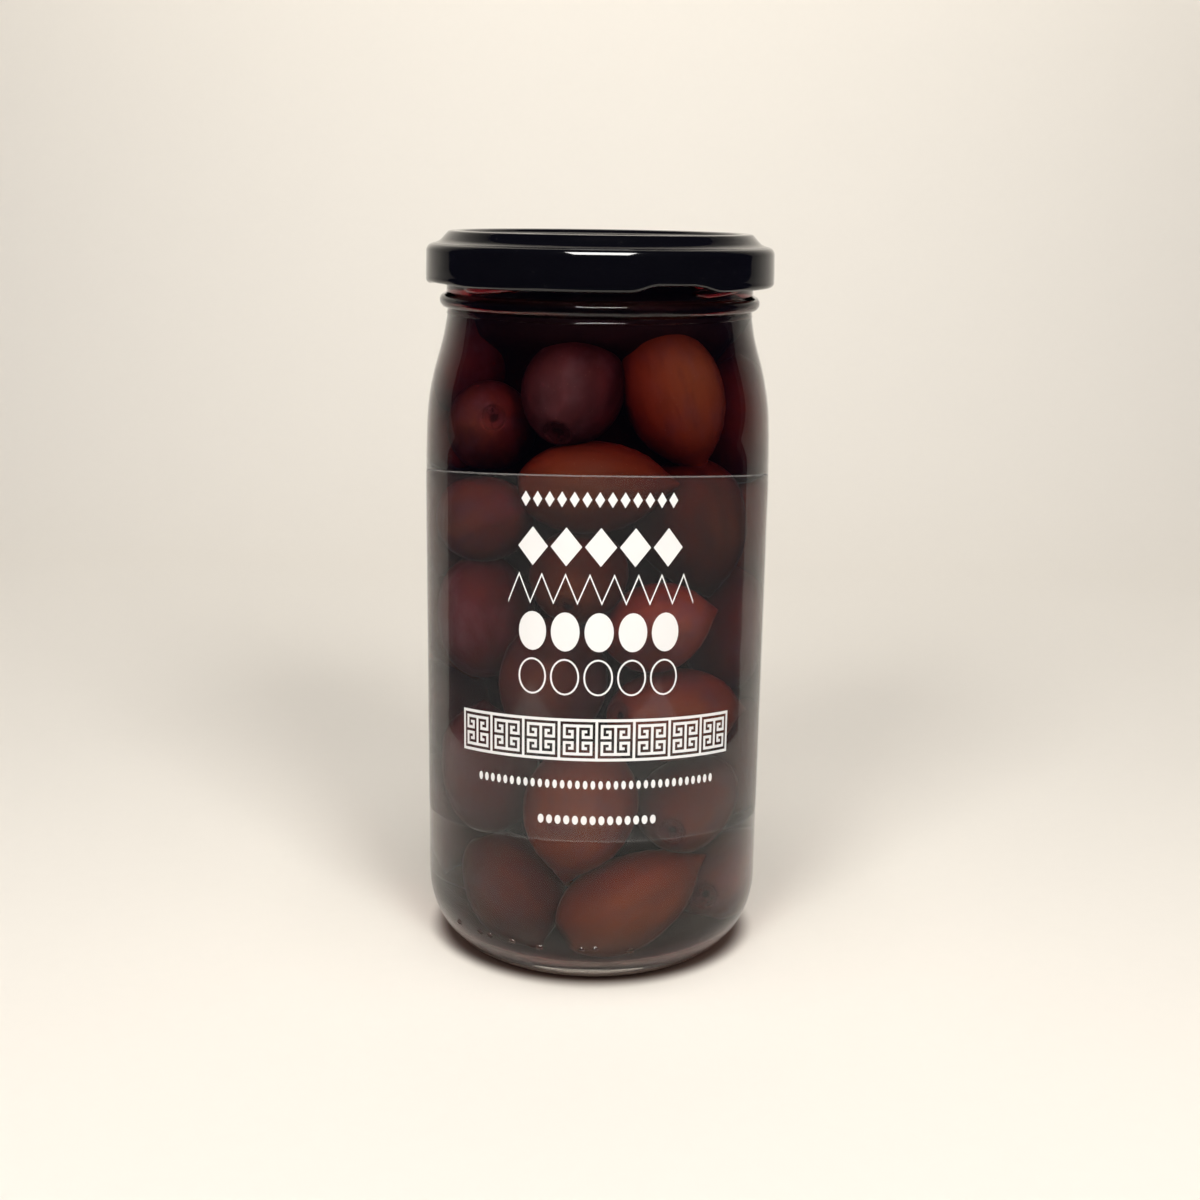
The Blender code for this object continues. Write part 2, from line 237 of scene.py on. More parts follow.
class Paint:
    """A material, or a world, under construction."""

    def __init__(self, name, made_in=bpy.data.materials):
        self.material = made_in.new(name)
        self.material.use_nodes = True
        self.tree = self.material.node_tree
        self.tree.nodes.clear()

    def node(self, kind, settings=None, sockets=None, output=0):
        """Adds a node: its settings first, then the values or links of its sockets."""
        made = self.tree.nodes.new(kind)
        for key, value in (settings or {}).items():
            setattr(made, key, value)
        for key, value in (sockets or {}).items():
            if isinstance(value, Wire):
                self.tree.links.new(value.socket, made.inputs[key])
            else:
                made.inputs[key].default_value = value
        return Wire(self, made.outputs[output]) if len(made.outputs) else made

    def place(self):
        return self.node("ShaderNodeTexCoord", output="Object")

    def split(self, vector):
        """The three numbers of a vector, each as a wire."""
        made = self.node("ShaderNodeSeparateXYZ", None, {0: vector}).socket.node
        return [Wire(self, made.outputs[k]) for k in range(3)]

    def height(self):
        """Height above the surface that the jar stands on, in metres."""
        return self.split(self.place())[2]

    def noise(self, where, scale, detail=2.0, rough=0.5, warp=0.0):
        return self.node("ShaderNodeTexNoise", None, {"Vector": where, "Scale": scale, "Detail": detail,
                                                      "Roughness": rough, "Distortion": warp})

    def ramp(self, value, low, high, to_low=0.0, to_high=1.0):
        """Turns low..high of a value into to_low..to_high, with soft ends."""
        sockets = {"Value": value, "From Min": low, "From Max": high, "To Min": to_low, "To Max": to_high}
        return self.node("ShaderNodeMapRange", {"interpolation_type": "SMOOTHSTEP", "clamp": True}, sockets)

    def mix(self, share, first, second):
        return self.node("ShaderNodeMix", {"data_type": "RGBA"}, {0: share, 6: first, 7: second}, 2)

    def scale(self, vector, share):
        return self.node("ShaderNodeVectorMath", {"operation": "SCALE"}, {0: vector, 3: share})

    def spots(self, where, scale, edge, middle):
        """Small round spots: 1 inside them and 0 outside."""
        cells = self.node("ShaderNodeTexVoronoi", None, {"Vector": where, "Scale": scale})
        return self.ramp(cells, edge, middle)

    def bump(self, height, distance, strength=1.0, normal=None):
        sockets = {"Height": height, "Distance": distance, "Strength": strength}
        if normal is not None:
            sockets["Normal"] = normal
        return self.node("ShaderNodeBump", None, sockets)

    def shader(self, **sockets):
        """The Principled shader, with socket names written with underscores."""
        spelled = {name.replace("_", " "): value for name, value in sockets.items()}
        return self.node("ShaderNodeBsdfPrincipled", None, spelled)

    def show(self, surface, volume=None):
        sockets = {"Surface": surface}
        if volume is not None:
            sockets["Volume"] = volume
        self.node("ShaderNodeOutputMaterial", None, sockets)
        return self.material

    def mix_shaders(self, share, first, second):
        return self.node("ShaderNodeMixShader", None, {0: share, 1: first, 2: second})

    def lets_lamps_through(self, shader, tint):
        """Clear to shadow rays, so that lamps light what stands behind the glass."""
        is_shadow = self.node("ShaderNodeLightPath", output="Is Shadow Ray")
        clear = self.node("ShaderNodeBsdfTransparent", None, {"Color": tint})
        return self.mix_shaders(is_shadow, shader, clear)


# %% [markdown]
# The glass is ordinary flint glass with an index of 1.52. Pressed glass is never quite even, so a
# slow bump of a tenth of a millimetre makes the reflections waver. The ring that it stands on is
# stippled, so a second, finer bump comes in near the foot. The lowest millimetres carry painted
# shade: their colour turns dark brown and a dull brown surface is mixed in, for the dark contact
# shadow at the foot, and they let less lamp light through. Where the inside of the wall is wet, it
# hardly reflects, because brine is nearly as dense as glass: that face has its own material with
# its reflection turned down.

# %% Glass
def glass_material(name, reflection):
    paint = Paint(name)
    place = paint.place()
    height = paint.height()
    waves = paint.bump(paint.noise(place, 55.0, 2.0), 0.00009)
    foot = paint.ramp(height, 0.0004, 0.0016, 1.0, 0.0)
    stipple = paint.bump(paint.noise(place, 1400.0, 1.0) * foot, 0.00012, 1.0, waves)
    # Painted shade: the colour turns dark brown in the lowest millimetres, for the contact shadow at the
    # foot
    tone = paint.mix(paint.ramp(height, 0.0024, 0.0046), (0.20, 0.150, 0.125, 1), (0.96, 0.965, 0.955, 1))
    clear = paint.shader(Base_Color=tone, Roughness=0.0, IOR=1.52, Transmission_Weight=1.0,
                         Specular_Tint=(reflection, reflection, reflection, 1), Normal=stipple)
    # A dull dark brown surface that is mixed in at the foot, also painted shade
    painted_foot_shade = paint.shader(Base_Color=(0.150, 0.108, 0.090, 1), Roughness=0.35, IOR=1.5)
    shader = paint.mix_shaders(paint.ramp(height, 0.0014, 0.0036, 0.85, 0.0), clear, painted_foot_shade)
    tint = paint.mix(paint.ramp(height, 0.002, 0.009), (0.04, 0.035, 0.03, 1), (0.94, 0.945, 0.935, 1))
    return paint.show(paint.lets_lamps_through(shader, tint))


glass = glass_material("glass", 0.65)
wet_glass = glass_material("wet glass", 0.08)

# %% [markdown]
# The wall of the jar is one closed skin: foot, heel, body, shoulder, neck, bead, finish and rim
# outside, and the same way back inside, 2.4 mm further in. The outline was read from the
# photograph; the wall and the foot's hollow are those of a common twist-off jar.

# %% The jar's turned wall
BODY_RADIUS, INSIDE_RADIUS, WALL = 33.5, 31.1, 2.4
SHOULDER = ((33.5, 94.0), (33.35, 102.1), (32.9, 109.1), (31.75, 115.2), (30.05, 121.2), (29.2, 125.6))
FLOOR_THICK = 4.0
# The rounded heel outside and inside: where its centre is, how wide and how tall it is
HEEL_CENTRE, HEEL_WIDE, HEEL_TALL = 24.2, 9.3, 13.1
ROUND_CENTRE, ROUND_WIDE, ROUND_TALL = 22.1, 9.0, 10.5
BEAD_CENTRE, BEAD_WIDE, BEAD_TALL = (29.35, 128.5), 1.25, 1.35
FINISH_RADIUS, MOUTH_RADIUS, RIM_HEIGHT = 29.3, 27.2, 139.6

outside = [(0.0, 2.2), (8.0, 2.1), (15.0, 1.7), (20.0, 1.0), (21.8, 0.35), (22.6, 0.05), (23.3, 0.0)]
outside += bow((HEEL_CENTRE, HEEL_TALL), HEEL_WIDE, -88.0, 0.0, 22, HEEL_TALL)[1:]
outside += [(BODY_RADIUS, height) for height in (20.0, 30.0, 45.0, 60.0, 75.0, 88.0)]
outside += gentle(SHOULDER, 4)
outside += [(29.18, 126.0), (29.34, 126.12), (29.18, 126.3), (29.12, 126.9)]
outside += bow(BEAD_CENTRE, BEAD_WIDE, -80.0, 80.0, 12, BEAD_TALL)
outside += [(FINISH_RADIUS, height) for height in (130.1, 134.0, 137.8)]
outside += bow((FINISH_RADIUS - 1.0, RIM_HEIGHT - 1.0), 1.0, 0.0, 90.0, 6)
inside = bow((MOUTH_RADIUS + 0.7, RIM_HEIGHT - 0.7), 0.7, 90.0, 180.0, 6)
inside += [(27.1, 138.0), (26.95, 134.0), (26.8, 128.0)]
inside += [(r - WALL, z - 0.6) for r, z in reversed(gentle(SHOULDER, 3))]
inside += [(INSIDE_RADIUS, height) for height in (80.0, 60.0, 40.0, 20.0)]
inside += bow((ROUND_CENTRE, FLOOR_THICK + ROUND_TALL), ROUND_WIDE, 0.0, -90.0, 16, ROUND_TALL)
inside += [(15.0, FLOOR_THICK + 0.2), (8.0, FLOOR_THICK + 0.5), (0.0, FLOOR_THICK + 0.6)]
jar = turned("jar_glass", outside + inside, 192)
print("jar profile has", len(outside) + len(inside), "stations")

# %% [markdown]
# Four short threads climb round the finish and catch the lid's lugs. Each is a small ring drawn
# once, extruded in steps, and turned and lifted a little at each step, with thin ends. The eight
# dots near the foot are left by the mould. All of them are fused with the wall by a Boolean,
# because glass that merely overlaps glass would show a false surface inside.

# %% Threads and mould dots
THREADS, THREAD_START, THREAD_SWEEP, THREAD_LOW, THREAD_RISE = 4, -55.0, 80.0, 131.25, 4.0
THREAD_RADIUS, THREAD_THICK, THREAD_STEPS, THIN_END = 29.7, 1.0, 20, 0.35
# Azimuth and height of each mould dot, its radius, and how far its middle is inside the glass
DOTS = ((-51.8, 8.7), (-40.7, 8.8), (-36.4, 8.8), (-27.1, 8.9), (-17.2, 8.7), (-3.0, 9.1), (1.5, 9.3),
        (13.4, 8.6))
DOT_RADIUS, DOT_SUNK = 0.85, 0.42


def eased(share):
    """A share of the way that starts and ends gently."""
    return 3 * share ** 2 - 2 * share ** 3


def thread(number):
    """One thread rib: a small ring swept round the finish and climbing to the right."""
    azimuth = THREAD_START + number * 360.0 / THREADS
    rib = start(bpy.ops.mesh.primitive_circle_add, "thread", vertices=12, radius=THREAD_THICK * MM,
                fill_type="NGON", location=(THREAD_RADIUS * MM, 0.0, THREAD_LOW * MM),
                rotation=(math.pi / 2, 0.0, 0.0))
    bpy.ops.mesh.select_all(action="SELECT")
    for step in range(THREAD_STEPS):
        bpy.ops.mesh.extrude_region_move(TRANSFORM_OT_translate={"value": (0.0, 0.0, 0.0)})
        climb = eased((step + 1) / THREAD_STEPS) - eased(step / THREAD_STEPS)
        swing(THREAD_SWEEP / THREAD_STEPS)
        bpy.ops.transform.translate(value=(0.0, 0.0, THREAD_RISE * climb * MM))
    bpy.ops.mesh.select_all(action="SELECT")
    swing(azimuth - 90.0)
    for end in (0.0, 1.0):
        turn = math.radians(azimuth + end * THREAD_SWEEP)
        centre = (THREAD_RADIUS * math.sin(turn), -THREAD_RADIUS * math.cos(turn),
                  THREAD_LOW + end * THREAD_RISE)
        pick(rib, lambda x, y, z: math.dist((x, y, z), centre) < 1.6 * THREAD_THICK)
        bpy.ops.transform.resize(value=(THIN_END,) * 3, center_override=tuple(c * MM for c in centre))
    tidy_mesh()
    return finish_shape(rib)


def swing(degrees):
    """Turns what is selected about the upright axis, counted from the front towards the right.

    The turn is measured and, if it went the other way, turned back the right way.
    """
    before = bmesh.from_edit_mesh(bpy.context.object.data)
    point = next(v for v in before.verts if v.select)
    first = math.atan2(point.co.y, point.co.x)
    bpy.ops.transform.rotate(value=math.radians(-degrees), orient_axis="Z", center_override=(0.0, 0.0, 0.0))
    after = bmesh.from_edit_mesh(bpy.context.object.data)
    point = next(v for v in after.verts if v.select)
    moved = math.degrees(math.atan2(point.co.y, point.co.x) - first)
    if abs((moved - degrees + 180.0) % 360.0 - 180.0) > 0.5:
        bpy.ops.transform.rotate(value=math.radians(2 * degrees), orient_axis="Z",
                                 center_override=(0.0, 0.0, 0.0))


def mould_dot(azimuth, height):
    """A low round pip on the heel."""
    turn = math.radians(azimuth)
    low = (HEEL_TALL - height) / HEEL_TALL
    radius = HEEL_CENTRE + HEEL_WIDE * math.sqrt(1 - low * low) - DOT_SUNK
    pip = start(bpy.ops.mesh.primitive_uv_sphere_add, "pip", segments=16, ring_count=10,
                radius=DOT_RADIUS * MM,
                location=(radius * math.sin(turn) * MM, -radius * math.cos(turn) * MM, height * MM))
    bpy.ops.mesh.select_all(action="SELECT")
    bpy.ops.transform.resize(value=(1.0, 1.0, 0.85))
    return finish_shape(pip)


finish_shape(jar)
extras = joined([thread(k) for k in range(THREADS)] + [mould_dot(a, h) for a, h in DOTS], "extras")
add_modifier(jar, "BOOLEAN", object=extras, operation="UNION", solver="EXACT")
bpy.data.objects.remove(extras)
finish_shape(jar)
give(jar, "jar", "jar", glass, wet_glass)

# %% [markdown]
# The brine stands to 134 mm. Every face of the wall's inside below that gets the wet material, and
# so does the round of the foot, which stands in its own shade and would else mirror the bright
# paper in front of it.

# %% Which faces are wet or in the foot's shade
BRINE_TOP, SHADE_TOP = 134.0, 3.2
wet = 0
shaded = 0
for face in jar.data.polygons:
    x, y, z = (c / MM for c in face.center)
    if face.normal.z < -0.12 and z < SHADE_TOP:
        face.material_index = 1
        shaded += 1
    outward = face.normal.x * x + face.normal.y * y
    inner = outward < 0 and math.hypot(x, y) < INSIDE_RADIUS + 0.2 and z < BRINE_TOP
    floor = face.normal.z > 0.5 and z < FLOOR_THICK + 6.0 and math.hypot(x, y) < 30.0
    if inner or floor:
        face.material_index = 1
        wet += 1
print("wet faces", wet, "faces in the foot's shade", shaded)

# %% [markdown]
# The brine is dark red from the olives' skins. It is a closed body of liquid, so its colour comes
# from absorption: the further light goes through it, the redder and darker it gets. It reaches
# 0.15 mm into the wall, so that no gap of air shows between glass and brine.

# %% Brine
def brine_material():
    paint = Paint("brine")
    place = paint.place()
    ripple = paint.bump(paint.noise(place, 40.0, 1.0), 0.00003)
    shader = paint.shader(Base_Color=(1.0, 0.985, 0.98, 1), Roughness=0.0, IOR=1.34, Transmission_Weight=1.0,
                          Specular_Tint=(0.05, 0.05, 0.05, 1), Normal=ripple)
    liquid = paint.node("ShaderNodeVolumeAbsorption", None, {"Color": (0.66, 0.04, 0.11, 1),
                                                             "Density": 125.0})
    return paint.show(paint.lets_lamps_through(shader, (1, 1, 1, 1)), liquid)


IN_WALL = 0.15
brine_side = [(r, FLOOR_THICK + rise - IN_WALL) for r, rise in ((0.0, 0.6), (8.0, 0.5), (15.0, 0.2))]
brine_side += bow((ROUND_CENTRE, FLOOR_THICK + ROUND_TALL), ROUND_WIDE + IN_WALL, -90.0, 0.0, 16,
                  ROUND_TALL + IN_WALL)
brine_side += [(INSIDE_RADIUS + IN_WALL, z) for z in (20.0, 40.0, 60.0, 80.0)]
brine_side += [(r - WALL + IN_WALL, z - 0.6) for r, z in gentle(SHOULDER, 3)]
brine_side += [(26.8 + IN_WALL, 128.0), (26.95 + IN_WALL, BRINE_TOP - 0.6), (26.7, BRINE_TOP - 0.25)]
brine_side += [(25.8, BRINE_TOP), (0.0, BRINE_TOP)]
brine = finish_shape(turned("brine", brine_side, 192), 30.0)
give(brine, None, "olives", brine_material())

# %% [markdown]
# Now the olives. Where they lie is worked out as it was for the solids: twenty are set where the
# photograph shows them, the rest fill the back, and all are pushed apart. Neighbours still reach
# a millimetre or two into each other, as soft olives press together in a full jar.

# %% Where the olives lie
# Azimuth, height, length, width, the tip's lean to the right of upright, and how far it points out
SEEN = (
    (-78, 117.5, 21, 15.5, 15, 0), (-12, 112.8, 21, 17.5, 10, -50), (38, 111.8, 25, 18.8, 166, 0),
    (-56, 105.5, 22, 16.8, 250, -30), (90, 105.5, 23, 17.0, -10, 0), (-2, 96.3, 26, 16.4, 86, 0),
    (-56, 89.0, 23, 15.5, 75, 0), (50, 88.5, 26, 19.5, 168, 5), (-8, 79.8, 21, 16.2, 10, -60),
    (-58, 69.5, 25, 18.5, 8, 0), (29, 69.8, 20, 16.4, 78, 5), (82, 66.0, 24, 17.0, 0, 0),
    (-22, 59.8, 25, 18.4, 8, 0), (40, 52.0, 27, 17.6, 98, 0),
    (-60, 38.5, 26, 18.5, 0, 0), (-6, 34.0, 27, 19.2, 190, 0), (53, 33.0, 24, 18.0, 75, -25),
    (-40, 14.8, 23, 18.6, 150, 0), (17, 14.8, 28, 17.8, 61, 0), (82, 14.5, 23, 17.5, 85, 0),
)
BACK_ROWS, HEAP_BOTTOM, HEAP_TOP, SETTLING_STEPS = 6, 5.0, 126.5, 160
PRESSED, OLIVE_GAP = 0.6, 0.75


def inner_radius(height):
    """Radius of the jar's inside at a height, in millimetres."""
    low = np.clip((FLOOR_THICK + ROUND_TALL - height) / ROUND_TALL, 0.0, 1.0)
    heel = BODY_RADIUS - WALL - ROUND_WIDE * (1 - np.sqrt(1 - low * low))
    rows = [z for r, z in SHOULDER]
    radii = [r - WALL for r, z in SHOULDER]
    return np.minimum(heel, np.interp(height, rows, radii))


def olive_axis(azimuth, lean, point_out):
    """Unit vector of an olive's long axis.

    The lean turns it to the right of upright, and point_out turns it outwards.
    """
    turn, side, out = math.radians(azimuth), math.radians(lean), math.radians(point_out)
    right = np.array((math.cos(turn), math.sin(turn), 0.0))
    outward = np.array((math.sin(turn), -math.cos(turn), 0.0))
    flat = right * math.sin(side) + np.array((0.0, 0.0, 1.0)) * math.cos(side)
    return flat * math.cos(out) + outward * math.sin(out)


def olive_layout():
    """Centres, axes, lengths and widths of all olives in millimetres, after they are pushed apart."""
    chance = random.Random(7)
    rows = [list(entry) for entry in SEEN]
    for row in range(BACK_ROWS):
        height = 15.0 + row * 19.3
        for step in range(3):
            azimuth = 128.0 + 52.0 * step + (24.0 if row % 2 else 0.0) + chance.uniform(-6, 6)
            lean = chance.choice((0, 35, 75, 110, 150)) + chance.uniform(-15, 15)
            size = chance.uniform(0.93, 1.07)
            rows.append([azimuth, height + chance.uniform(-2, 2), 25.0 * size, 18.3 * size, lean,
                         chance.uniform(-12, 12)])
    rows.append([118.0, 42.0, 24.0, 17.5, 10.0, 0.0])
    rows.append([120.0, 84.0, 24.0, 17.5, -20.0, 0.0])
    firm = np.array([0.25] * len(SEEN) + [1.0] * (len(rows) - len(SEEN)))
    long_half = np.array([entry[2] for entry in rows]) / 2
    wide_half = np.array([entry[3] for entry in rows]) / 2
    axes = np.array([olive_axis(entry[0], entry[4], entry[5]) for entry in rows])
    centres = []
    for azimuth, height, _, width, _, _ in rows:
        reach = inner_radius(height) - width / 2 - OLIVE_GAP
        turn = math.radians(azimuth)
        centres.append((reach * math.sin(turn), -reach * math.cos(turn), height))
    centres = np.array(centres)
    wanted = centres[:len(SEEN)].copy()
    # Five balls inside each olive stand for it while it settles
    shares = np.array((-0.8, -0.45, 0.0, 0.45, 0.8))
    span = np.sqrt(np.maximum(long_half ** 2 - wide_half ** 2, 0.01))
    ball = wide_half[:, None] * np.sqrt(1 - shares ** 2)[None, :]
    count = len(rows)
    for _ in range(SETTLING_STEPS):
        balls = centres[:, None, :] + axes[:, None, :] * (span[:, None] * shares[None, :])[:, :, None]
        flat = balls.reshape(-1, 3)
        radii = ball.reshape(-1)
        gaps = flat[:, None, :] - flat[None, :, :]
        away = np.linalg.norm(gaps, axis=2) + 1e-9
        deep = (radii[:, None] + radii[None, :] - PRESSED - away).reshape(count, 5, count, 5)
        lines = (gaps / away[:, :, None]).reshape(count, 5, count, 5, 3)
        push = np.zeros_like(centres)
        for i in range(count):
            for j in range(i + 1, count):
                block = deep[i, :, j, :]
                worst = np.unravel_index(block.argmax(), block.shape)
                if block[worst] > 0:
                    line = lines[i, worst[0], j, worst[1]]
                    share = firm[i] / (firm[i] + firm[j])
                    push[i] += line * block[worst] * share * 0.5
                    push[j] -= line * block[worst] * (1 - share) * 0.5
        centres = centres + push
        centres[:len(SEEN)] += 0.08 * (wanted - centres[:len(SEEN)])
        balls = centres[:, None, :] + axes[:, None, :] * (span[:, None] * shares[None, :])[:, :, None]
        out = np.linalg.norm(balls[:, :, :2], axis=2)
        over = out + ball + OLIVE_GAP - inner_radius(balls[:, :, 2])
        worst = over.argmax(axis=1)
        for i in range(count):
            k = worst[i]
            if over[i, k] > 0 and out[i, k] > 0:
                centres[i, :2] -= balls[i, k, :2] / out[i, k] * over[i, k]
            low = (balls[i, :, 2] - ball[i]).min()
            high = (balls[i, :, 2] + ball[i]).max()
            centres[i, 2] += max(0.0, HEAP_BOTTOM - low) - max(0.0, high - HEAP_TOP)
    return centres, axes, long_half * 2, wide_half * 2


centres, axes, lengths, widths = olive_layout()
print(len(centres), "olives settled")

# %% [markdown]
# An olive is an egg with a pointed tip at one end and a small sunken scar, where the stalk was, at
# the other. Three are shaped by hand from a ball, and the forty in the jar are copies of them, each
# with its own size and turn. Real ones also have a few shallow dents, so each shape gets some.

# %% Three olives shaped by hand
def olive_shape(name, tip, belly, dents, seed):
    """An olive of half-length 1 and half-width 1, with its tip up and its scar down."""
    olive = start(bpy.ops.mesh.primitive_uv_sphere_add, name, segments=44, ring_count=30, radius=1.0)
    soft = dict(use_proportional_edit=True, proportional_edit_falloff="SMOOTH")
    # The tip is drawn out, and bent a little to one side
    pick(olive, lambda x, y, z: z > 0.999 / MM)
    bpy.ops.transform.translate(value=(tip * 0.35, 0.0, tip), proportional_size=0.36,
                                use_proportional_edit=True, proportional_edit_falloff="SHARP")
    # Towards the tip the sides run in, as on an almond
    for at, share in ((0.45, 0.975), (0.62, 0.95), (0.78, 0.93)):
        pick(olive, lambda x, y, z: z * MM > at and z * MM < 1.0)
        bpy.ops.transform.resize(value=(share, share, 1.0), center_override=(0.0, 0.0, 0.0))
    # The belly is fuller towards the stalk
    pick(olive, lambda x, y, z: abs(z * MM + 0.3) < 0.08)
    bpy.ops.transform.resize(value=(belly, belly, 1.0), proportional_size=0.9, **soft)
    # The scar is pushed in
    pick(olive, lambda x, y, z: z < -0.999 / MM)
    bpy.ops.transform.translate(value=(0.0, 0.0, 0.10), proportional_size=0.30,
                                use_proportional_edit=True, proportional_edit_falloff="SPHERE")
    chance = random.Random(seed)
    for _ in range(dents):
        turn, up = chance.uniform(0, 2 * math.pi), chance.uniform(-0.7, 0.7)
        flat = math.sqrt(1 - up * up)
        spot = np.array((flat * math.cos(turn), flat * math.sin(turn), up))
        found = pick(olive, lambda x, y, z: math.dist((x * MM, y * MM, z * MM), spot) < 0.15)
        if found:
            depth = chance.uniform(0.02, 0.05)
            bpy.ops.transform.translate(value=tuple(-spot * depth),
                                        proportional_size=chance.uniform(0.35, 0.6), **soft)
    bpy.ops.object.mode_set(mode="OBJECT")
    return olive


shapes = [olive_shape("plump_olive", 0.10, 1.02, 4, 3), olive_shape("long_olive", 0.17, 1.04, 3, 5),
          olive_shape("uneven_olive", 0.13, 1.05, 7, 8)]
print("olive shapes", [len(s.data.vertices) for s in shapes])

# %% [markdown]
# Each olive keeps two facts on its points, for its skin to read: its own place, from scar to tip,
# and its tone: how ripe it is, how pale, and a number that starts its pattern. So no two skins
# are alike, though there is one material. The twenty in front have the tones that the photograph
# shows. Three of them are also a little slimmer than their solids, or lean a little differently.

# %% Copies, each at its own size and tone
# Ripeness (0 orange brown, 1 purple), paleness, which shape, turn about its own axis
TONES = (
    (0.75, 0.30, 0, 0), (0.85, -0.18, 0, 40), (0.25, 0.20, 1, 20), (0.65, -0.04, 2, 60),
    (0.50, 0.08, 0, 0), (0.15, -0.09, 1, 90), (0.55, 0.21, 2, 0), (0.30, -0.29, 2, 70),
    (0.10, -0.05, 0, 0), (0.80, 0.75, 0, 110), (0.50, 1.12, 2, 30), (0.70, 0.41, 0, 0),
    (0.60, 0.15, 0, 50), (0.35, 0.55, 1, 10), (0.75, 0.53, 0, 80), (0.35, 0.63, 1, 30),
    (0.50, 0.24, 2, 0), (0.60, -0.10, 0, 20), (0.30, 0.09, 1, 60), (0.65, 0.41, 0, 0),
)
# Share of the width and of the length, and what is added to azimuth, height and the tip's tilt outwards
NUDGES = {1: (0.96, 1.04, 0.0, 0.0, 0.0), 2: (0.90, 1.04, -1.0, 0.0, 10.0), 3: (0.90, 1.0, -4.0, 1.4, 0.0)}


def olive_matrix(number, turn):
    """Where one olive lies, as a matrix for a shape of half-length and half-width one."""
    narrow, long, swung, raised, tilted = NUDGES.get(number, (1.0, 1.0, 0.0, 0.0, 0.0))
    around = np.array(Matrix.Rotation(math.radians(swung), 3, "Z"))
    centre = around @ centres[number] + (0.0, 0.0, raised)
    axis = around @ axes[number]
    outward = centre * (1.0, 1.0, 0.0) / math.hypot(centre[0], centre[1])
    axis = axis + outward * math.tan(math.radians(tilted))
    axis /= np.linalg.norm(axis)
    side = np.cross(axis, (0.31, 0.52, 0.79))
    side /= np.linalg.norm(side)
    third = np.cross(axis, side)
    angle = math.radians(turn)
    across = side * math.cos(angle) + third * math.sin(angle)
    beyond = np.cross(axis, across)
    wide = widths[number] / 2 * narrow * MM
    tall = lengths[number] / 2 * long * MM
    matrix = Matrix((across * wide, beyond * wide, axis * tall)).transposed().to_4x4()
    matrix.translation = centre * MM
    return matrix


def lay_olive(number):
    """Copies a shape, stretches, turns and moves the copy's own mesh, and returns the copy."""
    chance = random.Random(100 + number)
    ripe = chance.uniform(0.2, 0.9)
    pale = chance.uniform(0.2, 0.6)
    turn = chance.uniform(0, 360)
    kind = number % len(shapes)
    if number < len(TONES):
        ripe, pale, kind, turn = TONES[number]
    only(shapes[kind])
    bpy.ops.object.duplicate()
    olive = bpy.context.object
    own = olive.data.attributes.new("own_place", "FLOAT_VECTOR", "POINT")
    tone = olive.data.attributes.new("tone", "FLOAT_VECTOR", "POINT")
    spots = np.empty(len(olive.data.vertices) * 3)
    olive.data.vertices.foreach_get("co", spots)
    own.data.foreach_set("vector", spots)
    pattern = chance.uniform(0.0, 20.0)
    tone.data.foreach_set("vector", np.tile((ripe, pale, pattern), len(olive.data.vertices)))
    olive.data.transform(olive_matrix(number, turn))
    return olive


laid = [lay_olive(number) for number in range(len(centres))]
for shape in shapes:
    bpy.data.objects.remove(shape)
olives = finish_shape(joined(laid, "olives_whole"), 80.0)
print("olives joined", len(olives.data.polygons), "faces")
